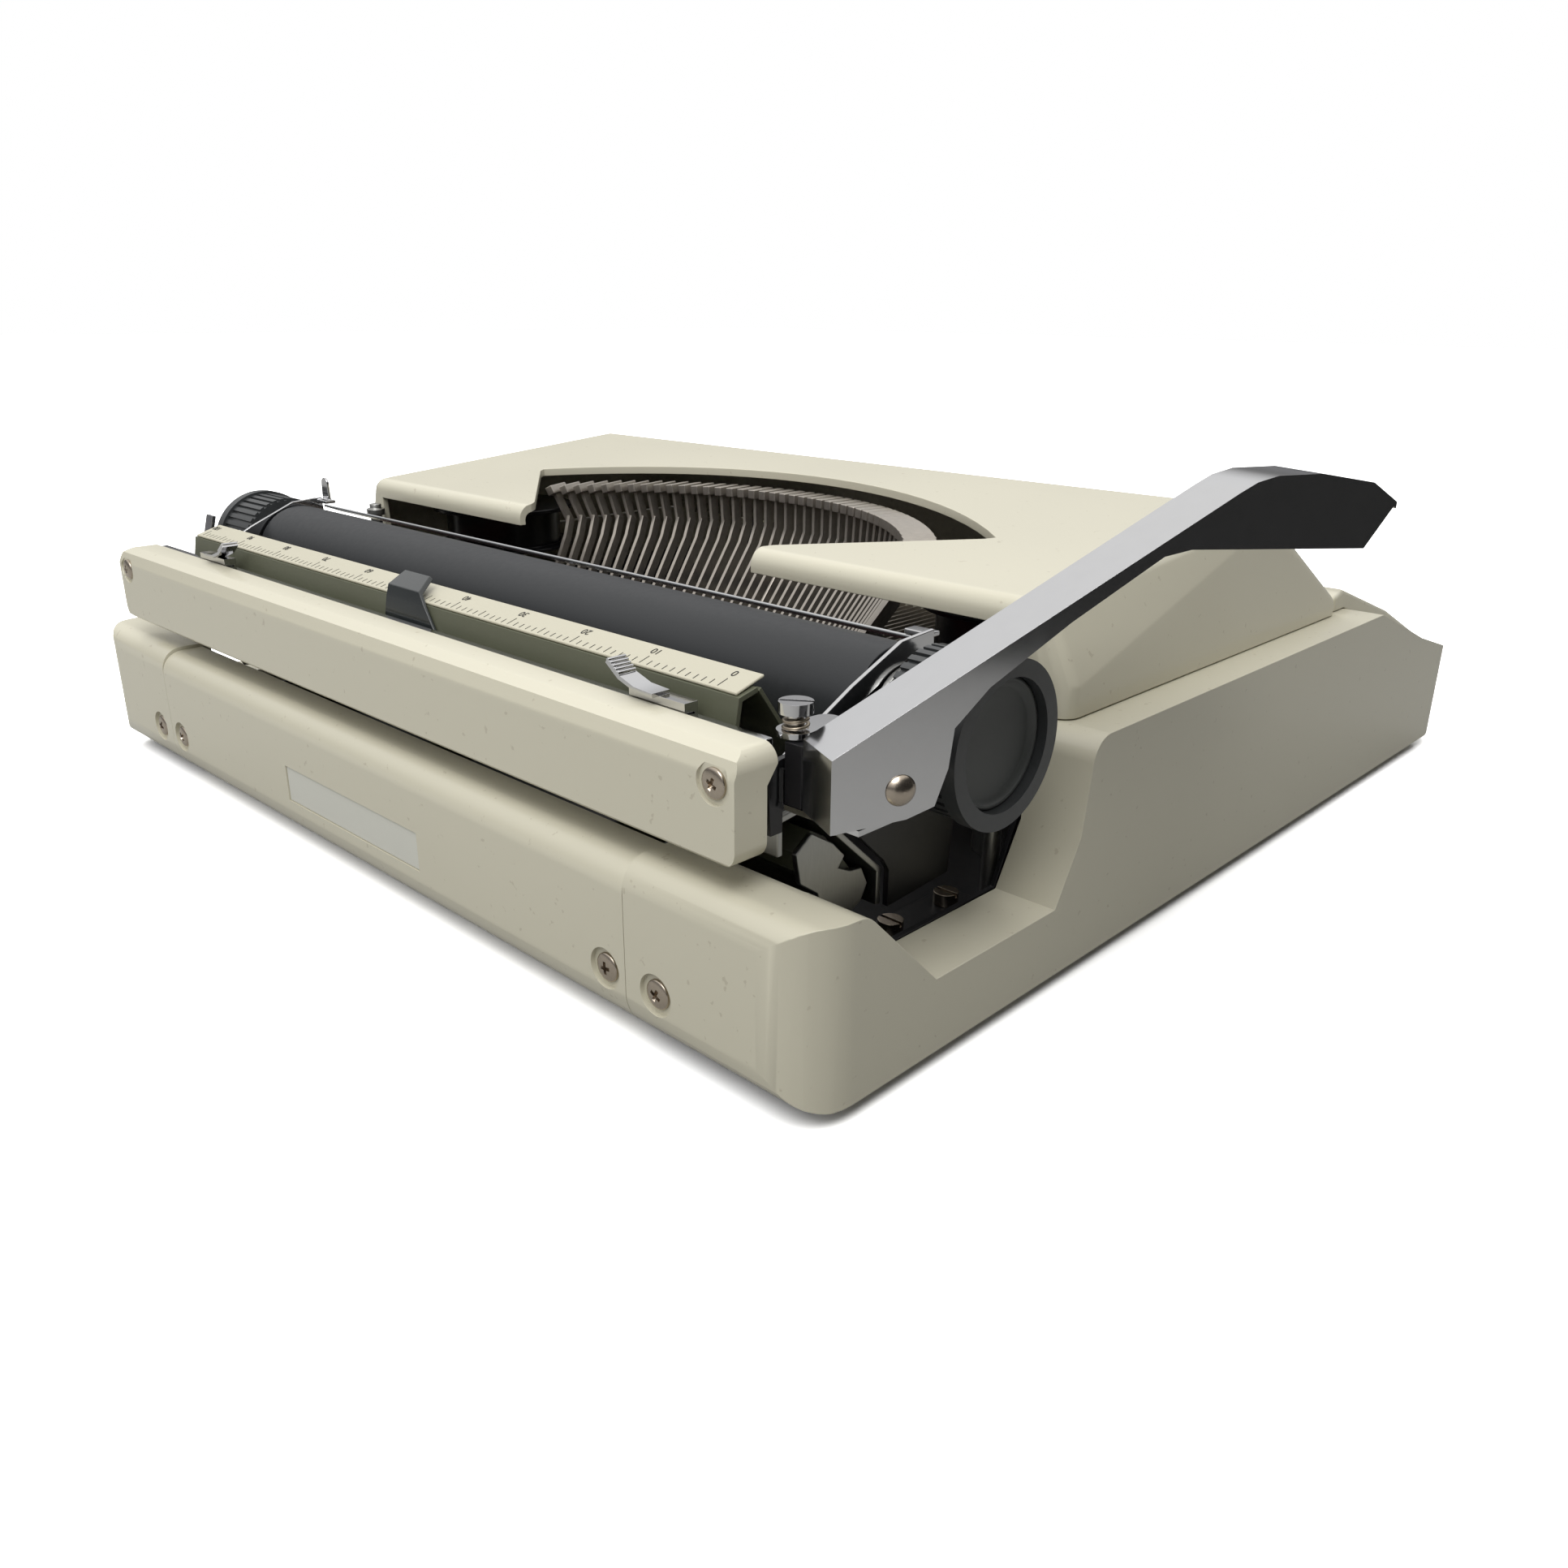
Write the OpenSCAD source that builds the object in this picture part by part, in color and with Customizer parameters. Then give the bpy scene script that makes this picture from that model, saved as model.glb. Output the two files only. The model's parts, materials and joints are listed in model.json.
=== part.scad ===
// Flat portable typewriter: an assembly of separate pieces.
// Millimetres, +Z up, typist at -Y, typist's right at +X.
// Origin: centre of the bottom plate's underside.

/* [Body] */
// Width of the base shell
body_w = 348; // [290:1:420]
// Depth of the base shell
body_d = 360; // [345:1:440]
// Height of the shoulder that the ribbon cover sits on
shoulder_z = 58; // [57:0.5:60]
// Height of the rear corner posts
post_z = 41.6; // [40:0.2:44]
// Wall of the base shell
shell_wall = 2.6; // [2:0.1:3.2]
// Radius of the vertical corners
corner_r = 14; // [8:1:18]
// Radius of the rounded edges of the base shell's outline
edge_r = 7; // [3:0.5:8]
// Width of the rear panel between its seams
rear_panel_w = 240; // [190:1:250]
// Width of the ledge inside each side notch
ledge_w = 17; // [12:0.5:18]
// Height of the rubber feet
foot_h = 4; // [3:0.5:8]
// Radius of a rubber foot
foot_r = 10; // [8:0.5:14]

/* [Ribbon cover] */
// Height of the cover's rear top edge
cover_rear_z = 86; // [84:0.5:90]
// Height of the cover's front top edge
cover_front_z = 96; // [94:0.5:104]
// Wall of the cover
cover_wall = 2.4; // [1.8:0.1:3]
// Reach of the cover in front of the type basket's centre
cover_depth = 163; // [150:1:175]

/* [Carriage] */
// Radius of the rubber platen
platen_r = 16.5; // [15:0.1:17.5]
// Height of the platen's axis
platen_z = 64; // [63:0.5:66]
// Radius of the platen's shaft
shaft_r = 3; // [2.5:0.1:3.8]
// Radius of a platen knob's flange
knob_r = 19; // [16:0.5:21]
// Height of the cream rear cover's top
carriage_cover_z = 71.5; // [70:0.5:73]
// Length of the return lever up to the start of its thumb end
lever_len = 120; // [100:1:135]
// Width of the return lever at its pivot end
lever_w = 13.7; // [10:0.1:15]
// Sheet thickness of the return lever
lever_t = 1.4; // [1:0.1:2]

/* [Type basket] */
// Number of typebars on both sides of the middle one
typebar_count = 40; // [30:2:42]
// Angle between neighbouring typebars
typebar_step = 2.65; // [2.5:0.05:2.8]
// Thickness of a typebar
typebar_t = 1.2; // [0.8:0.1:1.4]
// Radius of a ribbon spool
spool_r = 27; // [20:0.5:28]

/* [Keyboard] */
// Distance between keys along a row
key_pitch = 19; // [16:0.5:19.5]
// Distance between rows of keys
row_pitch = 16.5; // [15.5:0.5:17]
// Size of a key top
key_size = 14; // [11:0.5:14.5]
// Travel of a key
key_travel = 6; // [3:0.5:6]

/* [Hidden] */

// Frame of reference
half_w = body_w / 2;
rear_y = body_d / 2;
front_y = -body_d / 2;
gap = 0.3;
fit = 0.05;
plate_h = 1.2;
round_fn = 64;

// Side notch and platen line, measured from the rear face
post_front_y = rear_y - 17;
notch_rear_y = rear_y - 40.4;
notch_front_y = rear_y - 86.1;
notch_z = 18.3;
riser_y = rear_y - 95;
shoulder_rear_y = rear_y - 101;
platen_y = rear_y - 64;
print_y = platen_y - platen_r - 0.9;
shoulder_front_y = front_y + 83;
cheek_y = front_y + 39;
cheek_z = 42.4;
front_top_z = 32.3;

// Ribbon cover and type basket
cover_x = half_w - 11;
cover_rear_y = rear_y - 103;
cover_front_y = cover_rear_y - cover_depth;
cover_seat_z = shoulder_z + gap;
bend_rear_z = 70;
bend_front_z = 66;
crown_x = cover_x - 6;
crown_front_y = cover_front_y + 47;
basket_r = 160;
basket_front_y = print_y - 109.6;
basket_x = half_w - 67;
wing_x = 56;
live_index = typebar_count / 2;

// A typebar swings a quarter turn, so its pivot follows from where its type face
// rests and where it strikes
face_reach = 101;
face_z = 88;
knee_z = face_z - 15;
pivot_y = (print_y - face_z + platen_z + print_y - face_reach) / 2;
pivot_z = (platen_z + print_y - face_reach - print_y + face_z) / 2;
pivot_run = pivot_y - (print_y - face_reach);
fan_turn = 0.45;
lean_max = 28;

// Circle through the typebars' pivots
fan_half = typebar_step * live_index;
segment_half = face_reach * sin(fan_half) - pivot_run * sin(fan_turn * fan_half);
segment_rise = face_reach * (1 - cos(fan_half)) - pivot_run * (1 - cos(fan_turn * fan_half));
pivot_ring = (segment_half * segment_half + segment_rise * segment_rise) / (2 * segment_rise);
slug_w = 3;
slug_h = 3.2;

// Carriage stations along X
plate_x = half_w - 28;
plate_t = 1.6;
rubber_x = plate_x - 5;
carriage_half = half_w - 22.5;
carriage_cover_r = 4;
table_x = plate_x - 13;
rail_x = plate_x - 3;
frame_x = half_w - 24;
knob_x = half_w - 2;
knob_len = 22;
roller_r = 4;
roller_angle = -102;
bail_y = platen_y - 11.5;
bail_z = platen_z + 14.6;
bail_pivot_y = platen_y + 36;
bail_pivot_z = platen_z - 1.4;
bail_pin_r = 2;
bracket_z = 57.2;
release_pivot = [platen_y + 34, 58];
release_pin_r = 1.4;
arm_x = plate_x - 3.8;

// Return lever: its outer rear corner and the direction that it points in
lever_corner = [-half_w + 6.6, rear_y - 12.7];
lever_angle = 24.7;
lever_rear_z = 72.5;
lever_top_z = 120.5;
lever_rivet_s = 14.5;
lever_rivet_z = 64.8;
rivet_r = 1.6;
lever_pin_r = 2;
lever_pivot_s = 9;
lever_pivot_n = 7;
sleeve_top_z = 75;
lever_along = [-sin(lever_angle), -cos(lever_angle)];
lever_inward = [cos(lever_angle), -sin(lever_angle)];
lever_pivot = lever_corner + lever_pivot_s * lever_along + lever_pivot_n * lever_inward;

// Keyboard
key_row_y = front_y + 81;
key_top_z = 67;
row_drop = 6;
row_keys = [12, 12, 11, 10];
row_shift = [0, 6, 2, 0];
live_key_index = 5;

spool_pos = [half_w - 52, rear_y - 140];
post_pos = [half_w - 27, print_y - 16.8];
post_r = 2.2;
spool_bottom_z = 60;
spool_top_z = 76;

// Outlines along the carriage, in (y, z)
rail_outline = [[platen_y + 12.5, 27], [platen_y + 18, 21.5], [platen_y + 24, 25], [platen_y + 27, 31],
    [platen_y + 33.5, 36], [platen_y + 34.5, 41], [platen_y + 30, 45], [platen_y + 25, 42]];
truck_path = [[platen_y + 9.2, 21], [platen_y + 9.2, 29.8], [platen_y + 34, 52.6],
    [platen_y + 42.2, 51.6], [platen_y + 42.2, 43.4]];
table_path = [[platen_y + 36, 75.8], [platen_y + 41, 74.6], [platen_y + 43.4, 62], [platen_y + 40, 56.5]];
guide_path = [[platen_y + 44.6, 63], [platen_y + 42.4, 75], [platen_y + 41.5, 78], [platen_y + 36, 81]];
margin_rail_y = platen_y + 47;
margin_rail_z = 69.2;

// ---------- helpers ----------

function unit(v) = v / norm(v);

// Mitred normal of an open path at point i
function path_normal(p, i) =
    let (last = len(p) - 1)
    let (a = unit(p[min(i + 1, last)] - p[min(i, last - 1)]))
    let (b = unit(p[max(i, 1)] - p[max(i - 1, 0)]))
    let (t = unit(a + b))
    [-t.y, t.x] / (t * a);

// Closed outline of a strip of width w that follows a path
function band(p, w) = concat(
    [for (i = [0:len(p) - 1]) p[i] + path_normal(p, i) * w / 2],
    [for (i = [len(p) - 1:-1:0]) p[i] - path_normal(p, i) * w / 2]);

// Rounded rectangle as an anticlockwise outline
function round_rect(x, y0, y1, r, n = 8) =
    [for (c = [[x - r, y0 + r, -90], [x - r, y1 - r, 0], [-x + r, y1 - r, 90], [-x + r, y0 + r, 180]])
        for (k = [0:n]) [c[0] + r * cos(c[2] + 90 * k / n), c[1] + r * sin(c[2] + 90 * k / n)]];

// Circular arc of points
function arc(c, r, a0, a1, n = 8) =
    [for (k = [0:n]) let (a = a0 + (a1 - a0) * k / n) c + r * [cos(a), sin(a)]];

// A (y, z) outline pushed along X from x0 to x1
module slab_x(x0, x1) {
    translate([x0, 0, 0]) rotate([90, 0, 90]) linear_extrude(x1 - x0) children();
}

module box(x0, x1, y0, y1, z0, z1) {
    translate([x0, y0, z0]) cube([x1 - x0, y1 - y0, z1 - z0]);
}

module rod_x(r, x0, x1, y, z) {
    translate([x0, y, z]) rotate([0, 90, 0]) cylinder(r = r, h = x1 - x0, $fn = round_fn);
}

module both_sides() {
    children();
    mirror([1, 0, 0]) children();
}

// ---------- base ----------

// Side view of the body, its rear end reaching up to top_z
function side_profile(top_z) = [
    [front_y + 12, 0], [rear_y - 8, 0], [rear_y - 2, 2], [rear_y, 8], [rear_y, top_z - 3],
    [rear_y - 3, top_z], [post_front_y, top_z], [notch_rear_y, notch_z], [notch_front_y, notch_z],
    [riser_y, notch_z + 15.7], [riser_y - 3, shoulder_z - 1.5], [shoulder_rear_y, shoulder_z],
    [shoulder_front_y, shoulder_z], [cheek_y, cheek_z], [front_y + 3, front_top_z],
    [front_y, front_top_z - 3], [front_y, 10], [front_y + 4, 3]];

// That view shrunk by d, with its outer corners rounded
module body_outline(d, top_z) {
    offset(r = edge_r - d, $fn = 32) offset(delta = -edge_r) polygon(side_profile(top_z));
}

module body_block(d) {
    intersection() {
        slab_x(-half_w + d, half_w - d) body_outline(d, post_z);
        linear_extrude(shoulder_z + 10)
            polygon(round_rect(half_w - d, front_y + d, rear_y - d, corner_r - d));
    }
}

module base_shell() {
    inner_x = half_w - ledge_w;
    screw_x = rear_panel_w / 2 + 10;
    color("#cfc8b2") difference() {
        body_block(0);
        body_block(shell_wall);
        translate([0, 0, -1]) linear_extrude(shell_wall + 3)
            polygon(round_rect(half_w - shell_wall, front_y + shell_wall, rear_y - shell_wall,
                corner_r - shell_wall));
        box(-inner_x, inner_x, shoulder_front_y + 6, post_front_y, notch_z - 12, 100);
        box(-inner_x + 6, inner_x - 6, front_y + 10, shoulder_front_y + 7, front_top_z - 12, 100);
        box(-rear_panel_w / 2 - 0.2, rear_panel_w / 2 + 0.2, post_front_y - 1, rear_y + 1, -1, 100);
        both_sides() translate([screw_x, rear_y + 1, 13]) rotate([90, 0, 0]) {
            cylinder(r = 5, h = 2.2, $fn = round_fn);
            cylinder(r = 1.7, h = 8, $fn = round_fn);
        }
    }
}

module rear_panel() {
    top_z = post_z - 1.1;
    x = rear_panel_w / 2;
    color("#cfc8b2") difference() {
        slab_x(-x, x) intersection() {
            difference() {
                body_outline(0, top_z);
                body_outline(shell_wall, top_z);
            }
            polygon([[rear_y - 14, 12], [rear_y - 8, 12], [rear_y - 8, 0.2], [rear_y + 1, 0.2],
                [rear_y + 1, top_z + 1], [rear_y - 14, top_z + 1]]);
        }
        box(-36.1, 36.1, rear_y - 1, rear_y + 1, 11.5, 22.5);
        both_sides() translate([x - 7, rear_y + 1, 13]) rotate([90, 0, 0]) {
            cylinder(r = 5, h = 2.2, $fn = round_fn);
            cylinder(r = 1.7, h = 8, $fn = round_fn);
        }
    }
}

module label_plate() {
    color("#e4e4d6") box(-36, 36, rear_y - 1, rear_y - 0.3, 11.6, 22.4);
}

// Pan-head screw along Y, its head outwards
module pan_screw(r, head_h, len) {
    rotate([90, 0, 0]) {
        cylinder(r = 1.65, h = len, $fn = 24);
        difference() {
            cylinder(r = r, h = head_h, $fn = 32);
            for (a = [0, 90]) rotate([0, 0, a]) translate([-r * 0.6, -0.4, -1])
                cube([r * 1.2, 0.8, 1.6]);
        }
    }
}

module panel_screws() {
    seat_y = rear_y - 1.2;
    color("#b8b2a6") both_sides()
        for (x = [rear_panel_w / 2 - 7, rear_panel_w / 2 + 10])
            translate([x, seat_y + 1, 13]) pan_screw(3.5, 1, 6);
}

module at_feet() {
    for (x = [-1, 1], y = [-1, 1]) translate([x * (half_w - 36), y * (body_d / 2 - 34), 0]) children();
}

module bottom_plate() {
    d = shell_wall + gap;
    color("#2a2b2c") difference() {
        linear_extrude(plate_h)
            polygon(round_rect(half_w - d - 1, front_y + 14, rear_y - 10, corner_r - d));
        at_feet() translate([0, 0, -1]) cylinder(r = foot_r + fit, h = plate_h + 2, $fn = round_fn);
    }
}

// Feet pushed through the bottom plate, each held by its upper flange
module rubber_feet() {
    color("#222222") at_feet() {
        translate([0, 0, -foot_h]) cylinder(r1 = foot_r - 1, r2 = foot_r - 0.2, h = foot_h, $fn = 48);
        cylinder(r = foot_r - 0.2, h = plate_h + 1, $fn = 48);
        translate([0, 0, plate_h]) cylinder(r = foot_r + 1.4, h = 1, $fn = 48);
    }
}

// ---------- fixed frame under the carriage ----------

module inner_frame() {
    back_y = rear_y - 18.6;
    color("#1d1e20") {
        both_sides() {
            slab_x(frame_x, frame_x + 1.6) polygon([
                [front_y + 92, 1.2], [back_y, 1.2], [back_y, 14], [platen_y - 30, 14],
                [riser_y - 12, 40], [front_y + 92, 40]]);
            box(frame_x - 12, frame_x, platen_y - 28, platen_y + 8, 9, 10.6);
        }
        box(-frame_x, frame_x, back_y, back_y + 1.6, 1.2, 33);
        box(-frame_x, frame_x, front_y + 92, front_y + 93.6, 1.2, 3.6);
    }
}

module frame_screws() {
    color("#9a9a96") both_sides() for (y = [platen_y - 20, platen_y + 2])
        translate([frame_x - 6, y, 10.6]) difference() {
            cylinder(r = 3.2, h = 3.4, $fn = 32);
            translate([-4, -0.4, 2.4]) cube([8, 0.8, 2]);
        }
}

module carriage_rail() {
    color("#6d6c58") {
        slab_x(-rail_x, rail_x) polygon(rail_outline);
        for (x = [-0.6, 0, 0.6])
            box(x * rail_x - 5, x * rail_x + 5, platen_y + 26, rear_y - 18.6, 25, 30);
    }
}

module rail_end_plates() {
    color("#c9cac6") both_sides() slab_x(rail_x, rail_x + 1.5) polygon([
        [platen_y + 14, 31.5], [platen_y + 11.8, 27], [platen_y + 14, 23], [platen_y + 19, 20.8],
        [platen_y + 22, 24], [platen_y + 27, 25], [platen_y + 29, 30], [platen_y + 34.5, 34],
        [platen_y + 36, 41.5], [platen_y + 31, 45], [platen_y + 24, 40.6], [platen_y + 20, 36.5],
        [platen_y + 22, 34], [platen_y + 18, 32]]);
}

module mainspring_drum() {
    color("#8f9092") translate([-half_w + 80, platen_y + 22, 2.4]) difference() {
        cylinder(r = 20, h = 12, $fn = round_fn);
        translate([0, 0, -1]) cylinder(r = 3, h = 14, $fn = 32);
        translate([0, 0, 5]) rotate_extrude($fn = round_fn) translate([18.5, 0]) square([3, 4]);
    }
}

module escapement_wheel() {
    teeth = 24;
    color("#b9a46a") translate([0, platen_y + 20, 8]) rotate([90, 0, 0]) difference() {
        cylinder(r = 6.4, h = 2, $fn = round_fn);
        for (k = [0:teeth - 1]) rotate([0, 0, 360 / teeth * k]) translate([5.6, -0.3, -1]) cube([2, 0.6, 4]);
        translate([0, 0, -1]) cylinder(r = 1.5, h = 4, $fn = 24);
    }
}

module bell() {
    color("#b7b8b4") translate([half_w - 80, platen_y + 24, 1.2]) {
        cylinder(r = 2, h = 12, $fn = 24);
        translate([0, 0, 4]) difference() {
            cylinder(r1 = 15, r2 = 9, h = 8, $fn = round_fn);
            translate([0, 0, -0.1]) cylinder(r1 = 14, r2 = 8, h = 7, $fn = round_fn);
        }
    }
}

// ---------- ribbon cover ----------

// Eight-cornered block of the cover, shrunk by d
module cover_block(d) {
    r = 5 - d;
    low_x = cover_x - 5;
    top_x = crown_x - 6;
    hull() {
        for (s = [-1, 1]) {
            for (y = [cover_front_y + 5, cover_rear_y - 5]) {
                translate([s * low_x, y, cover_seat_z]) cylinder(r = r, h = 1, $fn = 24);
                translate([s * low_x, y, (y < 0 ? bend_front_z : bend_rear_z) - 5]) sphere(r = r, $fn = 24);
            }
            translate([s * top_x, crown_front_y, cover_front_z - 5]) sphere(r = r, $fn = 24);
            translate([s * top_x, cover_rear_y - 4, cover_rear_z - 5]) sphere(r = r, $fn = 24);
        }
    }
}

function basket_outline() =
    let (c = [0, basket_front_y + basket_r])
    let (corner_y = c.y - sqrt(basket_r * basket_r - basket_x * basket_x))
    let (a = asin(basket_x / basket_r))
    concat(arc(c, basket_r, -90 - a, -90 + a, 24),
        [[basket_x - 2, corner_y + 3], [wing_x + 2, cover_rear_y - 7], [wing_x, cover_rear_y - 4],
        [wing_x + 1, cover_rear_y + 20], [-wing_x - 1, cover_rear_y + 20],
        [-wing_x, cover_rear_y - 4], [-wing_x - 2, cover_rear_y - 7], [-basket_x + 2, corner_y + 3]]);

module ribbon_cover() {
    color("#d9d3bf") difference() {
        cover_block(0);
        translate([0, 0, -0.5]) cover_block(cover_wall);
        box(-half_w, half_w, front_y, rear_y, cover_seat_z - 20, cover_seat_z);
        box(-cover_x + cover_wall + 3, cover_x - cover_wall - 3, cover_front_y + 8, cover_rear_y - 8,
            cover_seat_z - 3, bend_front_z - 4);
        box(-cover_x + 15, cover_x - 15, cover_rear_y - 12, cover_rear_y + 4, cover_seat_z - 1, 79);
        translate([0, 0, 60]) linear_extrude(60) polygon(basket_outline());
    }
}

// ---------- type basket ----------

function fan_angle(k) = (k - live_index) * typebar_step;

// Where the typebar's head rests, in plan; turned less than the fan, so the shanks run nearly parallel
module in_fan(k) {
    a = fan_angle(k);
    translate([face_reach * sin(a), print_y - face_reach * cos(a), 0]) rotate([0, 0, fan_turn * a])
        children();
}

// Neck and slug lean outwards towards the ends of the fan
module leaning(k) {
    a = fan_angle(k) / fan_half;
    translate([0, 0, knee_z]) rotate([0, lean_max * a * abs(a), 0]) translate([0, 0, -knee_z]) children();
}

module shank() {
    translate([typebar_t / 2, 0, 0]) rotate([90, 0, -90]) linear_extrude(typebar_t) polygon(band([
        [-pivot_run - 2, pivot_z - 2.4], [-pivot_run + 3, pivot_z + 3.4], [-3.4, knee_z - 5], [0, knee_z + 2]], 4));
}

module neck() {
    box(-typebar_t / 2, typebar_t / 2, -2, 2, knee_z, face_z - 2);
}

// Type slug: its face is on top while the bar rests
module slug() {
    box(-slug_w / 2, slug_w / 2, -7, 4, face_z - slug_h, face_z);
}

module typebar_segment() {
    ring_y = pivot_y + pivot_ring;
    half = asin(segment_half / pivot_ring) + 3;
    color("#303132") difference() {
        translate([0, ring_y, pivot_z - 8]) rotate([0, 0, -90 - half])
            rotate_extrude(angle = 2 * half, $fn = 128) translate([pivot_ring - 5, 0]) square([11, 12]);
        for (k = [0:typebar_count]) in_fan(k)
            translate([-0.9, pivot_run - 9, pivot_z - 5.6]) cube([1.8, 18, 20]);
    }
}

module typebars() {
    color("#a9a69c") for (k = [0:typebar_count]) if (k != live_index) in_fan(k) {
        shank();
        leaning(k) neck();
    }
}

module type_slugs() {
    color("#9d968c") for (k = [0:typebar_count]) if (k != live_index) in_fan(k) leaning(k) difference() {
        slug();
        box(-typebar_t / 2, typebar_t / 2, -2, 2, face_z - slug_h - 1, face_z - 2);
    }
}

module live_typebar() {
    color("#b3b0a6") in_fan(live_index) {
        shank();
        neck();
        slug();
    }
}

module typebar_rest() {
    half = fan_half + 2;
    reach = face_reach - 6;
    color("#26272a") {
        translate([0, print_y, knee_z - 20]) rotate([0, 0, -90 - half])
            rotate_extrude(angle = 2 * half, $fn = 128) translate([reach - 3, 0]) square([3.4, 3]);
        for (a = [-half, half]) translate([0, print_y, 1.2]) rotate([0, 0, a])
            translate([-3, -reach, 0]) cube([6, 3, knee_z - 20]);
    }
}

module ribbon_guide() {
    color("#c4c6c8") both_sides() {
        box(5.6, 7.4, print_y - 4, print_y - 2.8, 40, 73);
        box(5.6, 14, print_y - 4, print_y - 2.8, 36, 42);
        box(12.4, 14, print_y - 10, print_y - 2.8, 1.2, 42);
    }
}

module spool(side) {
    translate([side * spool_pos.x, spool_pos.y, 0]) {
        difference() {
            union() {
                translate([0, 0, spool_bottom_z]) cylinder(r = spool_r, h = 1.2, $fn = round_fn);
                translate([0, 0, spool_bottom_z]) cylinder(r = 9, h = 15, $fn = round_fn);
                translate([0, 0, spool_top_z - 1.6]) cylinder(r = spool_r, h = 1.6, $fn = round_fn);
            }
            translate([0, 0, spool_bottom_z - 1]) cylinder(r = 2.5 + fit, h = 30, $fn = 32);
        }
        translate([0, 0, spool_bottom_z + 1.2]) difference() {
            cylinder(r = spool_r - 5, h = 13.2, $fn = round_fn);
            translate([0, 0, -1]) cylinder(r = 9, h = 20, $fn = round_fn);
        }
    }
}

module ribbon_spool_left() {
    color("#1b1b1d") spool(-1);
}

module ribbon_spool_right() {
    color("#1b1b1d") spool(1);
}

// Spindles for the spools and the flanged posts that turn the ribbon
module ribbon_posts() {
    color("#b4b6b0") both_sides() {
        translate([spool_pos.x, spool_pos.y, 1.2]) {
            cylinder(r = 2.5, h = spool_top_z - 1.2, $fn = 32);
            cylinder(r = 8, h = spool_bottom_z - 1.2 - gap, $fn = 32);
        }
        translate([post_pos.x, post_pos.y, 1.2]) cylinder(r = post_r, h = 76, $fn = 32);
        for (z = [56, 73]) translate([post_pos.x, post_pos.y, z]) cylinder(r = 3.4, h = 2.4, $fn = 32);
    }
}

module ribbon() {
    color("#8e1f1c") translate([0, 0, 58.6]) linear_extrude(12.6) both_sides()
        polygon(band([post_pos + [-0.5, post_r + 0.7], [wing_x + 40, print_y - 8], [8, print_y - 5]], 0.5));
}

// ---------- keyboard ----------

function row_y(row) = key_row_y - row * row_pitch;
function row_z(row) = key_top_z - row * row_drop;
function key_x(row, k) = (k - (row_keys[row] - 1) / 2) * key_pitch + row_shift[row];

// Key top with its stem; w is the key's width, d its depth
module key(x, y, z, w = key_size, d = key_size - 0.6) {
    translate([x - w / 2, y - d / 2, z - 5]) difference() {
        cube([w, d, 5]);
        translate([w / 2, d / 2, 5 + 27]) sphere(r = 28, $fn = 48);
    }
    translate([x - 0.8, y - 2.5, z - 18 - key_travel]) cube([1.6, 5, 13.5 + key_travel]);
}

module key_row(row) {
    live = row == 2 ? live_key_index : -1;
    color("#3b3c3e") for (k = [0:row_keys[row] - 1])
        if (k != live) key(key_x(row, k), row_y(row), row_z(row));
}

module key_row_1() key_row(0);
module key_row_2() key_row(1);
module key_row_3() key_row(2);
module key_row_4() key_row(3);

module letter_key() {
    color("#3b3c3e") key(key_x(2, live_key_index), row_y(2), row_z(2));
}

module space_bar() {
    y = row_y(4) + 1;
    z = row_z(4) + 1;
    color("#3b3c3e") {
        box(-57, 57, y - 5.5, y + 5.5, z - 6, z);
        for (x = [-46, 46]) box(x - 0.8, x + 0.8, y - 2, y + 2, z - 22, z - 5.9);
    }
}

// Key at the end of a row, outside the printing keys
module end_key(row, side, w) {
    reach = (row_keys[row] - 1) / 2 * key_pitch + key_size / 2 + 4.6;
    color("#57585a") key(side * (reach + w / 2) + row_shift[row], row_y(row), row_z(row), w);
}

module shift_left() end_key(3, -1, 20);
module shift_right() end_key(3, 1, 20);
module shift_lock() end_key(2, -1, 14);
module backspace() end_key(0, 1, 13);
module margin_release() end_key(0, -1, 13);

module ribbon_selector() {
    x = half_w - 42;
    color("#57585a") {
        box(x - 1, x + 1, row_y(2) - 2, row_y(2) + 3, row_z(2) - 26, row_z(2) - 4);
        box(x - 4, x + 4, row_y(2) - 3.5, row_y(2) + 4.5, row_z(2) - 4.5, row_z(2));
    }
}

module keyboard_cowl() {
    x = half_w - 13;
    keys_x = half_w - 34;
    back_y = cover_front_y - 1.2;
    bend_y = min(back_y - 7, shoulder_front_y + 2);
    color("#d2ccb6") difference() {
        slab_x(-x, x) polygon([
            [back_y, shoulder_z + gap], [back_y, shoulder_z + 5], [bend_y, shoulder_z + 6.5],
            [cheek_y + 1, cheek_z + 8], [front_y + 5, front_top_z + 4], [front_y + 5, front_top_z + gap + 0.6],
            [cheek_y, cheek_z + gap], [shoulder_front_y, shoulder_z + gap]]);
        box(-keys_x, keys_x, front_y + 9, key_row_y + 9, 0, 100);
    }
}

module key_levers() {
    color("#77787a") for (k = [0:typebar_count]) {
        x = (k - live_index) * 5;
        box(x - 0.6, x + 0.6, front_y + 12, pivot_y - 9, 4, 10);
    }
}

// ---------- carriage ----------

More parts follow.
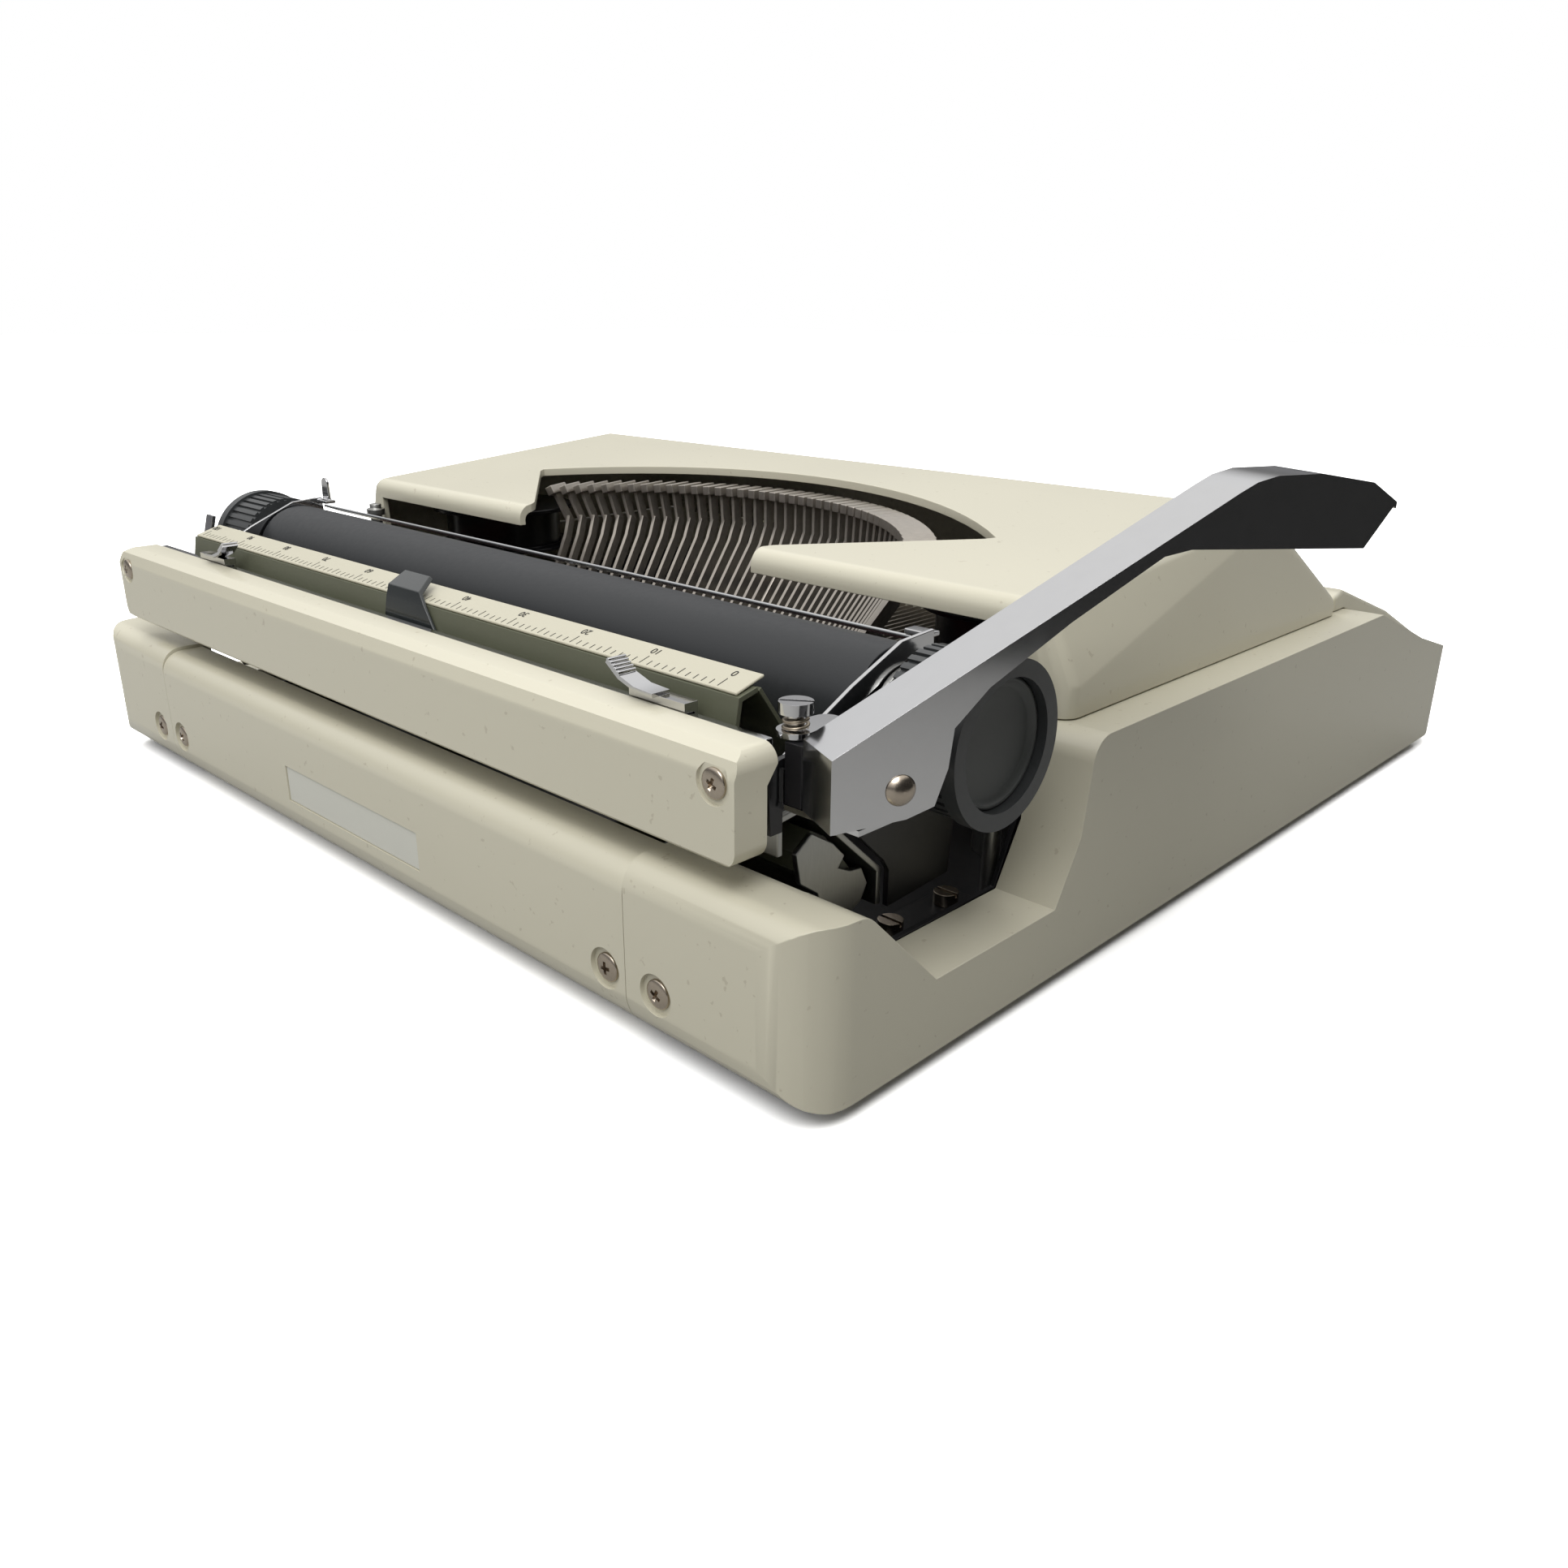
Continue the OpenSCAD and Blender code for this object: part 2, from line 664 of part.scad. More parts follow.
module carriage_plates() {
    color("#202123") both_sides() difference() {
        slab_x(plate_x, plate_x + plate_t) polygon([
            [platen_y - 15, 22], [platen_y + 8, 20.6], [platen_y + 8, 30], [platen_y + 10, 33],
            [platen_y + 33.5, 55.5], [platen_y + 43.5, 54.5], [platen_y + 43.5, 50], [platen_y + 47, 50],
            [platen_y + 48, 65], [platen_y + 44, 66], [platen_y + 19, 67.5], [platen_y - 17, 70],
            [platen_y - 18, 50]]);
        rod_x(shaft_r + fit, plate_x - 1, plate_x + 3, platen_y, platen_z);
        rod_x(bail_pin_r + fit, plate_x - 1, plate_x + 3, bail_pivot_y, bail_pivot_z);
    }
    color("#202123") {
        rod_x(release_pin_r, table_x + 1.4, plate_x + 0.1, release_pivot.x, release_pivot.y);
        box(-plate_x - 8, -plate_x - 3.4, bail_pivot_y + 2.6, bail_pivot_y + 9, bracket_z, 70.5);
    }
}

module carriage_truck() {
    color("#a9aaa4") slab_x(-plate_x + gap, plate_x - gap) polygon(band(truck_path, 1.6));
}

module carriage_cover() {
    x = carriage_half;
    y0 = rear_y - 15;
    y1 = rear_y - 3;
    z0 = 47.8;
    z1 = carriage_cover_z;
    color("#d6d0bb") difference() {
        intersection() {
            slab_x(-x, x) polygon([[y0 + 3, z0], [y1 - 1, z0], [y1, z0 + 1], [y1, z1 - 5], [y1 - 1.5, z1 - 1.5],
                [y1 - 5, z1], [y0, z1], [y0, z1 - 4], [y0 + 3, z1 - 8]]);
            translate([0, y1 + 1, 0]) rotate([90, 0, 0]) linear_extrude(y1 - y0 + 2)
                polygon(round_rect(x, z0, z1, carriage_cover_r));
        }
        slab_x(-x + 1.8, x - 1.8) polygon([[y0 + 2, z0 + 1.8], [y1 - 1.8, z0 + 1.8], [y1 - 1.8, z1 - 5.2],
            [y1 - 5.2, z1 - 1.8], [y0 - 1, z1 - 1.8], [y0 - 1, z0 + 10]]);
        both_sides() translate([x - 6.1, y1 + 1, 64.7]) rotate([90, 0, 0]) {
            cylinder(r = 4.6, h = 1.8, $fn = round_fn);
            cylinder(r = 1.7, h = 6, $fn = round_fn);
        }
    }
}

module cover_screws() {
    color("#b8b2a6") both_sides() translate([carriage_half - 6.1, rear_y - 3, 64.7]) pan_screw(3.3, 0.8, 8);
}

module paper_table() {
    color("#5d6350") {
        slab_x(-table_x, table_x) polygon(band(table_path, 1.2));
        slab_x(-table_x, table_x) polygon(band(concat(
            [[platen_y + 35.4, 75.8], [platen_y + 24, 60]],
            arc([platen_y, platen_z], platen_r + 3.6, -35, roller_angle + 16, 8)), 1));
        both_sides() box(table_x - 1, plate_x, platen_y + 38.6, platen_y + 40.6, 57, 60);
    }
}

module margin_scale() {
    color("#dcd7c0") slab_x(-table_x + 1, table_x - 1) polygon([
        [platen_y + 33, 78.4], [platen_y + 41.4, 75.9], [platen_y + 41.2, 75.2], [platen_y + 36, 76.8],
        [platen_y + 33, 77.6]]);
}

module margin_rail() {
    color("#b9bbbd") box(-plate_x - 1, plate_x + 1, margin_rail_y - 1.2, margin_rail_y + 1.2,
        margin_rail_z - 2, margin_rail_z + 1.8);
}

// Slider that wraps the margin rail with running clearance; its ribbed thumb tab curls up
module margin_stop() {
    c = 0.1;
    tab = [[-1, 4.6], [5, 4.9], [10, 6.5], [14, 9.4]];
    difference() {
        translate([-9, -2.2, 2]) cube([18, 3.8, 2.2]);
        translate([-10, -1.2 - c, -4]) cube([20, 2.4 + 2 * c, 5.8 + c]);
    }
    translate([-9, -2.2, -1.5]) cube([18, 1 - c, 5]);
    translate([0, 3.6, 0]) rotate([90, 0, 0]) {
        linear_extrude(5) polygon(band(tab, 1));
        for (f = [0.15:0.2:0.95]) translate(tab[2] + (tab[3] - tab[2]) * f + [-0.3, 0.4])
            cylinder(r = 0.45, h = 5, $fn = 16);
    }
}

module margin_stop_left() {
    color("#c8cacc") translate([-half_w + 59, margin_rail_y, margin_rail_z]) margin_stop();
}

module margin_stop_right() {
    color("#c8cacc") translate([half_w - 70, margin_rail_y, margin_rail_z]) mirror([1, 0, 0]) margin_stop();
}

// Thin leaning plate, cut off at a slant towards the lever's side
module paper_guide() {
    color("#3a3d3c") intersection() {
        slab_x(-26, 5) polygon(band(guide_path, 1));
        translate([0, rear_y, 0]) rotate([90, 0, 0]) linear_extrude(60)
            polygon([[-26, 60], [5, 60], [5, 84], [-5, 84], [-26, 64]]);
    }
}

module platen() {
    color("#3c3f42") {
        rod_x(platen_r, -rubber_x, rubber_x, platen_y, platen_z);
        rod_x(shaft_r, -knob_x + 6, knob_x - 6, platen_y, platen_z);
    }
}

// Ribbed knob: flange outside, ribs inside, a wide recess for the disc
module knob(side) {
    ribs = 40;
    inner_x = knob_x - knob_len;
    translate([0, platen_y, platen_z]) rotate([0, side * 90, 0]) difference() {
        union() {
            translate([0, 0, inner_x]) difference() {
                cylinder(r = knob_r - 0.8, h = knob_len - 3, $fn = round_fn);
                for (k = [0:ribs - 1]) rotate([0, 0, 360 / ribs * k])
                    translate([knob_r - 1.6, -0.6, -1]) cube([2, 1.2, knob_len - 3]);
            }
            translate([0, 0, knob_x - 4]) cylinder(r = knob_r, h = 4, $fn = round_fn);
        }
        translate([0, 0, inner_x - 1]) cylinder(r = shaft_r, h = knob_len - 5, $fn = 32);
        translate([0, 0, knob_x - 4]) cylinder(r = knob_r - 4, h = 5, $fn = round_fn);
    }
}

module knob_left() {
    color("#3f4143") knob(-1);
}

module knob_right() {
    color("#3f4143") knob(1);
}

module platen_ratchet() {
    color("#c2c4c0") both_sides() translate([plate_x - 2.2, platen_y, platen_z]) rotate([0, 90, 0])
        difference() {
            cylinder(r = 12.5, h = 1.6, $fn = round_fn);
            translate([0, 0, -1]) cylinder(r = shaft_r, h = 4, $fn = 32);
        }
}

module feed_rollers() {
    reach = platen_r + roller_r + gap;
    y = platen_y + reach * cos(roller_angle);
    z = platen_z + reach * sin(roller_angle);
    color("#303133") {
        rod_x(roller_r, -table_x + 8, table_x - 8, y, z);
        rod_x(1.4, -plate_x + gap, plate_x - gap, y, z);
    }
}

module bail_bar() {
    color("#c3c5c6") slab_x(-rubber_x + 3, rubber_x - 3) polygon([
        [bail_y - 4, bail_z - 1.6], [bail_y + 3, bail_z + 1.2], [bail_y + 2.7, bail_z + 2],
        [bail_y - 4.3, bail_z - 0.8]]);
}

module bail_arms() {
    color("#c3c5c6") both_sides() {
        slab_x(arm_x, arm_x + 1.2) polygon(band([[bail_y + 1, bail_z + 1.6], [bail_y + 12, bail_z + 0.8],
            [bail_y + 28, bail_z - 6], [bail_pivot_y, bail_pivot_z]], 5));
        rod_x(3, arm_x, arm_x + 1.2, bail_pivot_y, bail_pivot_z);
        rod_x(bail_pin_r, arm_x, plate_x + plate_t, bail_pivot_y, bail_pivot_z);
        box(rubber_x - 5, arm_x + 1.2, bail_y - 1, bail_y + 3, bail_z + 2.1, bail_z + 3.3);
    }
    hull() {
        box(arm_x - 5, arm_x, bail_y, bail_y + 1, bail_z + 3.3, bail_z + 4);
        translate([arm_x - 2.5, bail_y + 1, bail_z + 9]) rotate([90, 0, 0]) cylinder(r = 2.2, h = 1, $fn = 32);
    }
}

module paper_release() {
    x = table_x + 2.4;
    color("#c6c8ca") difference() {
        union() {
            translate([x, 0, 0]) slab_x(0, 5) polygon(band([release_pivot, release_pivot + [-0.5, 12],
                release_pivot + [1, 16], release_pivot + [-1, 23]], 1.4));
            rod_x(2.6, x, x + 5, release_pivot.x, release_pivot.y);
        }
        rod_x(release_pin_r + fit, x - 1, x + 6, release_pivot.x, release_pivot.y);
    }
}

module carriage_release() {
    x = plate_x + plate_t + 0.4;
    color("#c6c8ca") {
        box(x, x + 1.2, platen_y + 4, platen_y + knob_r + 1.2, 55, 66);
        box(x, x + 6, platen_y + knob_r, platen_y + knob_r + 1.2, 60, 73);
    }
}

// ---------- return lever ----------

// Frame of the lever: X along the lever, Y to its inner side, Z up
module at_lever() {
    translate([lever_corner.x, lever_corner.y, 0]) rotate([0, 0, -90 - lever_angle]) children();
}

function lever_top() = [[0, lever_rear_z], [86, 117.5], [90, 119.4], [95, lever_top_z],
    [lever_len - 14, lever_top_z], [lever_len, lever_top_z - 2.3], [lever_len + 7, lever_top_z - 6.5]];
function lever_bottom() = [[lever_len + 7, lever_top_z - 6.5], [lever_len, 104.7], [104, 105.7], [76, 107],
    [69.7, 106], [49.7, 94.6], [32.7, 83.4], [25.5, 76], [24.6, 68], [22, 60.5], [16, 58.6], [0, 57.5]];

module return_lever() {
    top = lever_top();
    n = len(top);
    color("#d4d6d8") at_lever() {
        difference() {
            translate([0, lever_t, 0]) rotate([90, 0, 0]) linear_extrude(lever_t)
                polygon(concat(lever_bottom(), top));
            translate([lever_rivet_s, 3, lever_rivet_z]) rotate([90, 0, 0]) cylinder(r = rivet_r, h = 6, $fn = 32);
        }
        rotate([90, 0, 0]) translate([0, 0, -lever_w]) linear_extrude(lever_w)
            polygon(concat(top, [for (i = [n - 1:-1:0]) top[i] - [0, lever_t]]));
        translate([lever_pivot_s, lever_pivot_n, bracket_z + gap]) difference() {
            cylinder(r = lever_pin_r + 1.4, h = lever_rear_z + 2.4 - bracket_z, $fn = 32);
            translate([0, 0, -1]) cylinder(r = lever_pin_r + fit, h = sleeve_top_z - bracket_z, $fn = 32);
        }
        box(0, lever_t, 0, lever_w, 57.5, lever_rear_z);
    }
}

module lever_rivet() {
    color("#cfc6b8") at_lever() translate([lever_rivet_s, 0, lever_rivet_z]) rotate([90, 0, 0]) {
        translate([0, 0, -lever_t - 0.6]) cylinder(r = rivet_r, h = lever_t + 0.6, $fn = 32);
        intersection() {
            translate([0, 0, -2.2]) sphere(r = 4, $fn = 48);
            cylinder(r = 4, h = 2, $fn = 32);
        }
    }
}

// Chrome plate that carries the lever's hinge pin, and an upper tongue with a slotted screw
module lever_bracket() {
    out_x = -plate_x - plate_t - gap;
    tongue_z = 71;
    head_z = 75.6;
    screw = [-plate_x - 2.8, platen_y + 41.2];
    color("#b9bbbd") {
        box(lever_pivot.x - 4.5, out_x, lever_pivot.y - 5, lever_pivot.y + 5, bracket_z - 1.2, bracket_z);
        box(out_x - 1.2, out_x, platen_y + 24, platen_y + 45, bracket_z - 1.2, 64.6);
        box(out_x - 1.2, out_x, platen_y + 30, platen_y + 36, 64, tongue_z + 1);
        translate([lever_pivot.x, lever_pivot.y, bracket_z - 0.2])
            cylinder(r = lever_pin_r, h = sleeve_top_z - bracket_z - 1, $fn = 32);
        hull() {
            translate([screw.x, screw.y, tongue_z]) cylinder(r = 4, h = 1.2, $fn = 32);
            translate([screw.x, platen_y + 32, tongue_z]) cylinder(r = 3, h = 1.2, $fn = 32);
        }
        translate([screw.x, screw.y, tongue_z]) cylinder(r = 1.8, h = head_z - tongue_z, $fn = 32);
        translate([screw.x, screw.y, head_z]) difference() {
            cylinder(r = 3.6, h = 2.4, $fn = 48);
            rotate([0, 0, 35]) translate([-4, -0.45, 1.3]) cube([8, 0.9, 2]);
        }
    }
}

base_shell();
rear_panel();
label_plate();
panel_screws();
bottom_plate();
rubber_feet();
inner_frame();
frame_screws();
carriage_rail();
rail_end_plates();
ribbon_cover();
typebar_segment();
typebars();
type_slugs();
typebar_rest();
live_typebar();
ribbon_guide();
ribbon_spool_left();
ribbon_spool_right();
ribbon_posts();
ribbon();
keyboard_cowl();
key_levers();
key_row_1();
key_row_2();
key_row_3();
key_row_4();
letter_key();
space_bar();
shift_left();
shift_right();
shift_lock();
backspace();
margin_release();
ribbon_selector();
mainspring_drum();
escapement_wheel();
bell();
carriage_plates();
carriage_truck();
carriage_cover();
cover_screws();
paper_table();
margin_scale();
margin_rail();
margin_stop_left();
margin_stop_right();
paper_guide();
platen();
knob_left();
knob_right();
platen_ratchet();
feed_rollers();
bail_bar();
bail_arms();
paper_release();
carriage_release();
lever_bracket();
return_lever();
lever_rivet();
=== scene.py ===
"""Flat portable typewriter: the looks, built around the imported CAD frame."""
import json
import math

import bmesh
import bpy
from mathutils import Matrix, Vector


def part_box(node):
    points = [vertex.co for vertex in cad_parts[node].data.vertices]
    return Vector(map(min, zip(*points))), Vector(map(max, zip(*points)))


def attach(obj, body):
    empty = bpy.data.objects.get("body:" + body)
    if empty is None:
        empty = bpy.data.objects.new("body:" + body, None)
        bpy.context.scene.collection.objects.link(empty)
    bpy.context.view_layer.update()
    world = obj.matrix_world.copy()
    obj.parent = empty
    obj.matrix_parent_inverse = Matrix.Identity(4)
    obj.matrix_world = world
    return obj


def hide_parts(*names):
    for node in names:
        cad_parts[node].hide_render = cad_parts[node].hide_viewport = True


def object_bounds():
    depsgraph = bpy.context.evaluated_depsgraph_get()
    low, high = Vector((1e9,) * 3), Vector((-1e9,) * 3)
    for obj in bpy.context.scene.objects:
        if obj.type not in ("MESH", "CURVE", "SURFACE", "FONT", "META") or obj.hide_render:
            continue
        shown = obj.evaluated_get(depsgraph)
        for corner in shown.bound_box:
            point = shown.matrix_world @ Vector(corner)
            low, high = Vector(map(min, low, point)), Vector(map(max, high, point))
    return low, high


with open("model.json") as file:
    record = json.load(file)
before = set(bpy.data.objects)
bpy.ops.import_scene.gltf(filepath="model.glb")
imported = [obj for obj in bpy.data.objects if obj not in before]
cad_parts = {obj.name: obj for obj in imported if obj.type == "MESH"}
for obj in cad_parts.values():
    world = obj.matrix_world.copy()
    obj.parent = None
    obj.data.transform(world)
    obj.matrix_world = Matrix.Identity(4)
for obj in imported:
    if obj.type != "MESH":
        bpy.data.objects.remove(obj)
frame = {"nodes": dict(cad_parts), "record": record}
cad_low, cad_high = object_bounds()
MM = 0.001
SLOTS = {row["node"]: row["material_slot"] for row in frame["record"]["subparts"]}


def link(name, data):
    """A new object in the scene that shows this data."""
    thing = bpy.data.objects.new(name, data)
    bpy.context.scene.collection.objects.link(thing)
    return thing


# ---------- camera, floor and light ----------

CAMERA_PLACE = (-0.3121, 0.3322, 0.1513)
CAMERA_FORWARD = (0.6441, -0.6774, -0.3554)
CAMERA_DOWN = (-0.2516, 0.2512, -0.9347)
LENS, SENSOR = 29.0, 36
LIGHT_AIM = (0, 0, 0.05)
KEY_PLACE, KEY_SIZE, KEY_POWER = (-0.5, 0.7, 1.2), 0.9, 11
FILL_PLACE, FILL_SIZE, FILL_POWER = (0.9, -0.3, 1.0), 0.8, 7
FLOOR_REACH = 6
CARD_X, CARD_FRONT, CARD_BACK, CARD_TOP = -0.5, -0.7, 0.6, 0.5
SKY_GREYS = ((0.18, 0.16), (0.34, 0.6), (0.5, 0.95))


def make_camera():
    """Low three-quarter view from behind, on the return lever's side."""
    camera = bpy.data.cameras.new("camera")
    camera.sensor_width = SENSOR
    camera.lens = LENS
    holder = link("camera", camera)
    forward = Vector(CAMERA_FORWARD).normalized()
    down = Vector(CAMERA_DOWN)
    up = -(down - down.dot(forward) * forward).normalized()
    right = forward.cross(up)
    turn = Matrix((right, up, -forward)).transposed().to_4x4()
    holder.matrix_world = Matrix.Translation(Vector(CAMERA_PLACE)) @ turn
    camera.clip_start = 0.01
    bpy.context.scene.camera = holder


def area_light(name, place, size, power):
    light = bpy.data.lights.new(name, "AREA")
    light.shape = "RECTANGLE"
    light.size = light.size_y = size
    light.energy = power
    holder = link(name, light)
    holder.location = place
    holder.rotation_euler = (Vector(LIGHT_AIM) - Vector(place)).to_track_quat("-Z", "Y").to_euler()
    return holder


def make_world():
    """A white room for the eye; what the metal mirrors is bright above and dark near the horizon."""
    world = bpy.data.worlds.new("studio")
    bpy.context.scene.world = world
    world.use_nodes = True
    nodes, links = world.node_tree.nodes, world.node_tree.links
    background = nodes["Background"]
    place = nodes.new("ShaderNodeTexCoord")
    split = nodes.new("ShaderNodeSeparateXYZ")
    links.new(place.outputs["Generated"], split.inputs["Vector"])
    ramp = nodes.new("ShaderNodeValToRGB")
    stops = ramp.color_ramp.elements
    stops[0].position, stops[0].color = 0.0, (0.22, 0.22, 0.23, 1)
    stops[1].position, stops[1].color = 0.75, (1.05, 1.04, 1.02, 1)
    for position, grey in SKY_GREYS:
        stop = stops.new(position)
        stop.color = (grey, grey, grey, 1)
    links.new(split.outputs["Z"], ramp.inputs["Fac"])
    path = nodes.new("ShaderNodeLightPath")
    pick = nodes.new("ShaderNodeMixRGB")
    pick.inputs["Color2"].default_value = (1, 1, 1, 1)
    links.new(path.outputs["Is Camera Ray"], pick.inputs["Fac"])
    links.new(ramp.outputs["Color"], pick.inputs["Color1"])
    links.new(pick.outputs["Color"], background.inputs["Color"])


def make_floor_paint():
    """White paper to the eye, but grey in what it throws back: upright faces stay darker than flat ones."""
    material = bpy.data.materials.new("floor")
    material.use_nodes = True
    nodes, links = material.node_tree.nodes, material.node_tree.links
    nodes.remove(nodes["Principled BSDF"])
    path = nodes.new("ShaderNodeLightPath")
    pick = nodes.new("ShaderNodeMixShader")
    seen, thrown = nodes.new("ShaderNodeBsdfDiffuse"), nodes.new("ShaderNodeBsdfDiffuse")
    seen.inputs["Color"].default_value = (1.7, 1.7, 1.7, 1)
    thrown.inputs["Color"].default_value = (0.38, 0.38, 0.37, 1)
    links.new(path.outputs["Is Camera Ray"], pick.inputs["Fac"])
    links.new(thrown.outputs["BSDF"], pick.inputs[1])
    links.new(seen.outputs["BSDF"], pick.inputs[2])
    links.new(pick.outputs["Shader"], nodes["Material Output"].inputs["Surface"])
    return material


def sheet_of(name, corners, material):
    mesh = bpy.data.meshes.new(name)
    mesh.from_pydata(corners, [], [(0, 1, 2, 3)])
    mesh.materials.append(material)
    return link(name, mesh)


def make_studio():
    """Floor, two soft lights, and a dark card that only the metal and the enamel see."""
    bpy.context.scene.view_settings.view_transform = "Standard"
    make_world()
    floor = sheet_of("floor", [(a * FLOOR_REACH, b * FLOOR_REACH, cad_low.z)
                               for a, b in ((-1, -1), (1, -1), (1, 1), (-1, 1))], make_floor_paint())
    card = sheet_of("card", [(CARD_X, CARD_FRONT, 0), (CARD_X, CARD_BACK, 0), (CARD_X, CARD_BACK, CARD_TOP),
                             (CARD_X, CARD_FRONT, CARD_TOP)],
                    surface("card", (0.03, 0.03, 0.03), rough=0.9, mottle=0.0))
    card.visible_camera = False
    area_light("key", KEY_PLACE, KEY_SIZE, KEY_POWER)
    fill = area_light("fill", FILL_PLACE, FILL_SIZE, FILL_POWER)
    fill.visible_glossy = False


# ---------- materials ----------

def surface(name, colour, rough=0.5, metal=0.0, coat=0.0, bump=None, mottle=0.08, scale=60.0,
            stretch=(1, 1, 1), wear=0.0, bands=None):
    """Principled material with slight mottling of colour and roughness. bump is the (scale, depth) of a fine
    grain, wear the strength of sparse dirt specks, and bands the (height, colour) of what lies above it."""
    material = bpy.data.materials.new(name)
    material.use_nodes = True
    nodes, links = material.node_tree.nodes, material.node_tree.links
    shader = nodes["Principled BSDF"]
    shader.inputs["Metallic"].default_value = metal
    shader.inputs["Coat Weight"].default_value = coat
    shader.inputs["Coat Roughness"].default_value = 0.08
    place = nodes.new("ShaderNodeTexCoord")
    mapping = nodes.new("ShaderNodeMapping")
    mapping.inputs["Scale"].default_value = stretch
    links.new(place.outputs["Object"], mapping.inputs["Vector"])
    noise = nodes.new("ShaderNodeTexNoise")
    noise.inputs["Scale"].default_value = scale
    noise.inputs["Detail"].default_value = 5
    links.new(mapping.outputs["Vector"], noise.inputs["Vector"])
    tint = nodes.new("ShaderNodeMixRGB")
    tint.inputs["Color1"].default_value = (*[c * (1 - mottle) for c in colour], 1)
    tint.inputs["Color2"].default_value = (*colour, 1)
    links.new(noise.outputs["Fac"], tint.inputs["Fac"])
    out = tint.outputs["Color"]
    if bands:
        border, upper_colour = bands
        split = nodes.new("ShaderNodeSeparateXYZ")
        links.new(place.outputs["Object"], split.inputs["Vector"])
        above = nodes.new("ShaderNodeMath")
        above.operation = "GREATER_THAN"
        above.inputs[1].default_value = border
        links.new(split.outputs["Z"], above.inputs[0])
        upper = nodes.new("ShaderNodeMixRGB")
        upper.inputs["Color2"].default_value = (*upper_colour, 1)
        links.new(above.outputs["Value"], upper.inputs["Fac"])
        links.new(out, upper.inputs["Color1"])
        out = upper.outputs["Color"]
    if wear:
        specks = nodes.new("ShaderNodeTexNoise")
        specks.inputs["Scale"].default_value = 420
        specks.inputs["Detail"].default_value = 2
        links.new(place.outputs["Object"], specks.inputs["Vector"])
        sparse = nodes.new("ShaderNodeMapRange")
        sparse.inputs["From Min"].default_value = 0.70
        sparse.inputs["From Max"].default_value = 0.74
        sparse.inputs["To Max"].default_value = wear
        links.new(specks.outputs["Fac"], sparse.inputs["Value"])
        dirt = nodes.new("ShaderNodeMixRGB")
        dirt.inputs["Color2"].default_value = (0.22, 0.16, 0.09, 1)
        links.new(sparse.outputs["Result"], dirt.inputs["Fac"])
        links.new(out, dirt.inputs["Color1"])
        out = dirt.outputs["Color"]
    links.new(out, shader.inputs["Base Color"])
    worn = nodes.new("ShaderNodeMapRange")
    worn.inputs["To Min"].default_value = rough * 0.85
    worn.inputs["To Max"].default_value = min(1.0, rough * 1.2)
    links.new(noise.outputs["Fac"], worn.inputs["Value"])
    links.new(worn.outputs["Result"], shader.inputs["Roughness"])
    if bump:
        grain_scale, depth = bump
        grain = nodes.new("ShaderNodeTexNoise")
        grain.inputs["Scale"].default_value = grain_scale
        links.new(mapping.outputs["Vector"], grain.inputs["Vector"])
        bumper = nodes.new("ShaderNodeBump")
        bumper.inputs["Distance"].default_value = depth
        bumper.inputs["Strength"].default_value = 0.6
        links.new(grain.outputs["Fac"], bumper.inputs["Height"])
        links.new(bumper.outputs["Normal"], shader.inputs["Normal"])
    return material


LOOKS = {
    "cream_enamel": dict(colour=(0.60, 0.572, 0.455), rough=0.32, coat=0.25, mottle=0.03, scale=14,
                         bump=(1200, 0.000012), wear=0.25),
    "olive_enamel": dict(colour=(0.115, 0.12, 0.08), rough=0.4, mottle=0.1),
    "black_steel": dict(colour=(0.012, 0.012, 0.014), rough=0.34, scale=120, mottle=0.3),
    "label": dict(colour=(0.62, 0.62, 0.56), rough=0.5, mottle=0.04),
    "cream_scale": dict(colour=(0.50, 0.475, 0.37), rough=0.35, mottle=0.04),
    "nickel": dict(colour=(0.52, 0.45, 0.37), rough=0.25, metal=1.0, mottle=0.25, scale=900),
    "zinc": dict(colour=(0.50, 0.50, 0.48), rough=0.36, metal=1.0, scale=300, stretch=(1, 8, 1),
                 mottle=0.2),
    "chrome": dict(colour=(0.62, 0.62, 0.63), rough=0.13, metal=1.0, scale=220, mottle=0.06),
    "typebar_steel": dict(colour=(0.50, 0.46, 0.41), rough=0.36, metal=0.85, mottle=0.3, scale=500),
    "bail_aluminium": dict(colour=(0.60, 0.61, 0.62), rough=0.26, metal=1.0, stretch=(0.1, 6, 1),
                           scale=400),
    "brass": dict(colour=(0.5, 0.36, 0.13), rough=0.35, metal=1.0, mottle=0.2),
    "platen_rubber": dict(colour=(0.017, 0.019, 0.022), rough=0.45, scale=500, mottle=0.35,
                          bump=(2500, 0.00002)),
    "foot_rubber": dict(colour=(0.01, 0.01, 0.01), rough=0.8, mottle=0.2),
    "knob_plastic": dict(colour=(0.045, 0.048, 0.050), rough=0.36, coat=0.1, mottle=0.15, scale=300),
    "black_plastic": dict(colour=(0.006, 0.006, 0.007), rough=0.25, mottle=0.2),
    "dark_keys": dict(colour=(0.014, 0.014, 0.015), rough=0.35, mottle=0.15),
    "grey_keys": dict(colour=(0.05, 0.05, 0.052), rough=0.35, mottle=0.1),
    "dark_guide": dict(colour=(0.020, 0.024, 0.025), rough=0.22, coat=0.4, mottle=0.2),
    "ribbon_cloth": dict(colour=(0.20, 0.010, 0.008), rough=0.8, bump=(3000, 0.00005), mottle=0.25,
                         scale=1500, bands=(0.065, (0.010, 0.009, 0.010))),
}
MATERIALS = {slot: surface(slot, **look) for slot, look in LOOKS.items()}
INK = surface("scale_ink", (0.02, 0.02, 0.02), rough=0.6, mottle=0.2)
PALE_INK = surface("bail_ink", (0.10, 0.10, 0.10), rough=0.6, mottle=0.2)
